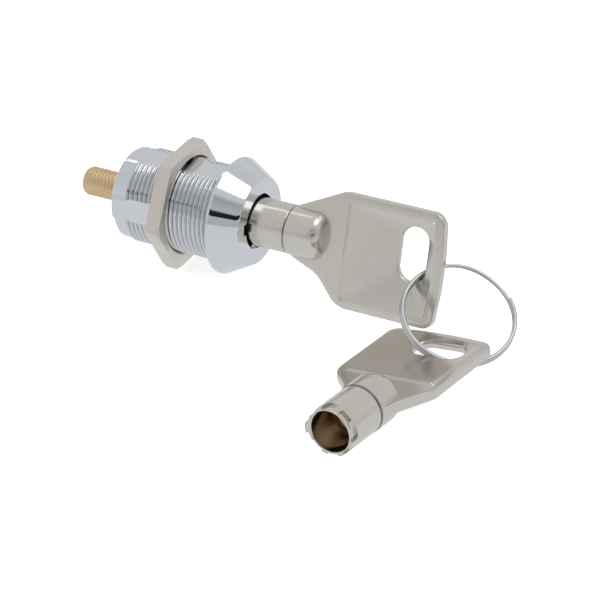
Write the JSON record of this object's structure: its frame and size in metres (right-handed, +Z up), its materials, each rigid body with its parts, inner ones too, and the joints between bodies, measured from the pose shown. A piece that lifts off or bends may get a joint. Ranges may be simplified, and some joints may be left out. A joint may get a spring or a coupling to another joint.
{
  "type": "vending machine lock",
  "caption": "Threaded panel lock with a hex nut, a tubular key in its mouth and a spare key on a split ring.",
  "frame": {"origin": "centre of the flange's seat plane, on the lock's axis", "axes": "+X along the lock towards its key in plan, the lock's axis tipped 3.65 degrees up from it; +Z straight up from the table it lies on"},
  "size_m": [0.0934, 0.0605, 0.0237],
  "materials": {
    "chrome_plate": "bright chrome plate on die casting",
    "nut_plate": "warm grey zinc plate",
    "spindle_brass": "machined brass",
    "inner_brass": "turned brass",
    "inner_steel": "plain steel",
    "post_steel": "turned steel",
    "key_nickel": "satin nickel plate",
    "ring_wire": "bright nickel plated spring wire"
  },
  "bodies": {
    "housing": {"housing": "chrome_plate", "sleeve": "inner_brass", "cross_pin": "inner_steel", "driver_pin_1": "inner_steel", "driver_pin_2": "inner_steel", "driver_pin_3": "inner_steel", "driver_pin_4": "inner_steel", "driver_pin_5": "inner_steel", "driver_pin_6": "inner_steel", "driver_pin_7": "inner_steel", "pin_spring_1": "inner_steel", "pin_spring_2": "inner_steel", "pin_spring_3": "inner_steel", "pin_spring_4": "inner_steel", "pin_spring_5": "inner_steel", "pin_spring_6": "inner_steel", "pin_spring_7": "inner_steel"},
    "nut": {"hex_nut": "nut_plate"},
    "plug": {"spindle": "spindle_brass", "guide_post": "post_steel", "thrust_washer": "inner_brass", "snap_ring": "inner_steel"},
    "key": {"key_tube": "key_nickel", "key_bow": "key_nickel"},
    "spare_key": {"spare_key_tube": "key_nickel", "spare_key_bow": "key_nickel"},
    "ring": {"split_ring": "ring_wire"},
    "pin_1": {"key_pin_1": "inner_brass"},
    "pin_2": {"key_pin_2": "inner_brass"},
    "pin_3": {"key_pin_3": "inner_brass"},
    "pin_4": {"key_pin_4": "inner_brass"},
    "pin_5": {"key_pin_5": "inner_brass"},
    "pin_6": {"key_pin_6": "inner_brass"},
    "pin_7": {"key_pin_7": "inner_brass"}
  },
  "joints": [
    {"name": "nut_run", "type": "slide", "parent": "housing", "child": "nut", "axis": [0.998, 0, 0.0637], "range_m": [-0.006, 0.0085]},
    {"name": "plug_turn", "type": "hinge", "parent": "housing", "child": "plug", "pos_m": [0, 0, 0], "axis": [0.998, 0, 0.0637], "range_deg": [-80.7, 9.3]},
    {"name": "key_slide", "type": "slide", "parent": "plug", "child": "key", "axis": [0.998, 0, 0.0637], "range_m": [0, 0.012]},
    {"name": "pin_1_slide", "type": "slide", "parent": "plug", "child": "pin_1", "axis": [0.998, 0, 0.0637], "range_m": [0, 0.0006]},
    {"name": "pin_2_slide", "type": "slide", "parent": "plug", "child": "pin_2", "axis": [0.998, 0, 0.0637], "range_m": [0, 0.0002]},
    {"name": "pin_3_slide", "type": "slide", "parent": "plug", "child": "pin_3", "axis": [0.998, 0, 0.0637], "range_m": [0, 0.0009]},
    {"name": "pin_4_slide", "type": "slide", "parent": "plug", "child": "pin_4", "axis": [0.998, 0, 0.0637], "range_m": [0, 0.0004]},
    {"name": "pin_5_slide", "type": "slide", "parent": "plug", "child": "pin_5", "axis": [0.998, 0, 0.0637], "range_m": [0, 0.0011]},
    {"name": "pin_6_slide", "type": "slide", "parent": "plug", "child": "pin_6", "axis": [0.998, 0, 0.0637], "range_m": [0, 0.0003]},
    {"name": "pin_7_slide", "type": "slide", "parent": "plug", "child": "pin_7", "axis": [0.998, 0, 0.0637], "range_m": [0, 0.0008]},
    {"name": "ring_turn", "type": "hinge", "parent": "key", "child": "ring", "pos_m": [0.05013, -0.00412, -0.00413], "axis": [0.3029, -0.2639, 0.9157], "continuous": true},
    {"name": "spare_key_swing", "type": "hinge", "parent": "key", "child": "spare_key", "pos_m": [0.05051, -0.01439, -0.00721], "axis": [-0.2003, 0.1309, 0.971], "range_deg": [0, 10]}
  ],
  "couplings": [
    {"joint": "pin_1_slide", "follows": "key_slide", "ratio": 0.05},
    {"joint": "pin_2_slide", "follows": "key_slide", "ratio": 0.01667},
    {"joint": "pin_3_slide", "follows": "key_slide", "ratio": 0.075},
    {"joint": "pin_4_slide", "follows": "key_slide", "ratio": 0.03333},
    {"joint": "pin_5_slide", "follows": "key_slide", "ratio": 0.09167},
    {"joint": "pin_6_slide", "follows": "key_slide", "ratio": 0.025},
    {"joint": "pin_7_slide", "follows": "key_slide", "ratio": 0.06667}
  ]
}
